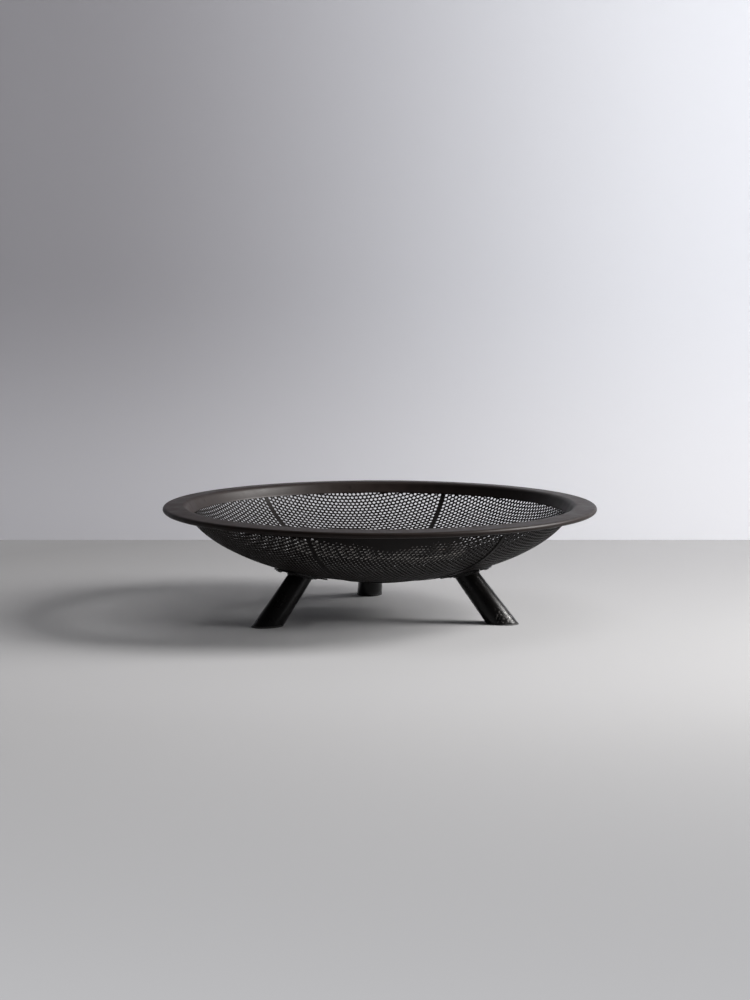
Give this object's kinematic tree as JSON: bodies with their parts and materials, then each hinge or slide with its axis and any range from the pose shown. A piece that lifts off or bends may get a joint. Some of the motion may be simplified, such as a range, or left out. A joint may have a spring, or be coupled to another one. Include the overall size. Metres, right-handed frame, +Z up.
{
  "type": "fire pit",
  "caption": "Low round fire pit: a perforated steel bowl with a wide rolled rim on splayed tube legs, and a lift-out grate.",
  "frame": {"origin": "on the floor, under the centre of the bowl", "axes": "+Z up; the back leg stands towards +Y and the two front legs towards -Y"},
  "size_m": [0.8584, 0.8584, 0.2219],
  "materials": {
    "rim_paint": "satin brown-black heat-resistant paint",
    "mesh_paint": "satin black heat-resistant paint on perforated sheet",
    "leg_paint": "satin black paint",
    "foot_cap": "moulded black rubber",
    "fasteners": "dulled black-zinc plate",
    "edge_wire": "bare drawn wire",
    "grate_iron": "sand-cast, sooted"
  },
  "bodies": {
    "fire_pit": {"rim_ring": "rim_paint", "rim_edge_wire": "edge_wire", "collar_band": "rim_paint", "mesh_panel_1": "mesh_paint", "mesh_panel_2": "mesh_paint", "mesh_panel_3": "mesh_paint", "mesh_panel_4": "mesh_paint", "mesh_panel_5": "mesh_paint", "mesh_panel_6": "mesh_paint", "seam_strap_1": "mesh_paint", "seam_strap_2": "mesh_paint", "seam_strap_3": "mesh_paint", "seam_strap_4": "mesh_paint", "seam_strap_5": "mesh_paint", "seam_strap_6": "mesh_paint", "hub_plate_outer": "mesh_paint", "hub_plate_inner": "mesh_paint", "hub_bolt": "fasteners", "hub_nut": "fasteners", "collar_rivet_1": "rim_paint", "collar_rivet_2": "rim_paint", "collar_rivet_3": "rim_paint", "collar_rivet_4": "rim_paint", "collar_rivet_5": "rim_paint", "collar_rivet_6": "rim_paint", "leg_tube_1": "leg_paint", "foot_cap_1": "foot_cap", "leg_saddle_1": "leg_paint", "leg_backing_plate_1": "leg_paint", "leg_tube_2": "leg_paint", "foot_cap_2": "foot_cap", "leg_saddle_2": "leg_paint", "leg_backing_plate_2": "leg_paint", "leg_tube_3": "leg_paint", "foot_cap_3": "foot_cap", "leg_saddle_3": "leg_paint", "leg_backing_plate_3": "leg_paint", "leg_bolt_1_1": "fasteners", "leg_nut_1_1": "fasteners", "leg_bolt_1_2": "fasteners", "leg_nut_1_2": "fasteners", "leg_bolt_1_3": "fasteners", "leg_nut_1_3": "fasteners", "leg_bolt_2_1": "fasteners", "leg_nut_2_1": "fasteners", "leg_bolt_2_2": "fasteners", "leg_nut_2_2": "fasteners", "leg_bolt_2_3": "fasteners", "leg_nut_2_3": "fasteners", "leg_bolt_3_1": "fasteners", "leg_nut_3_1": "fasteners", "leg_bolt_3_2": "fasteners", "leg_nut_3_2": "fasteners", "leg_bolt_3_3": "fasteners", "leg_nut_3_3": "fasteners"},
    "grate": {"fire_grate": "grate_iron"}
  },
  "joints": [
    {"name": "grate_lift", "type": "slide", "parent": "fire_pit", "child": "grate", "axis": [0, 0, 1], "range_m": [0, 0.17]}
  ]
}
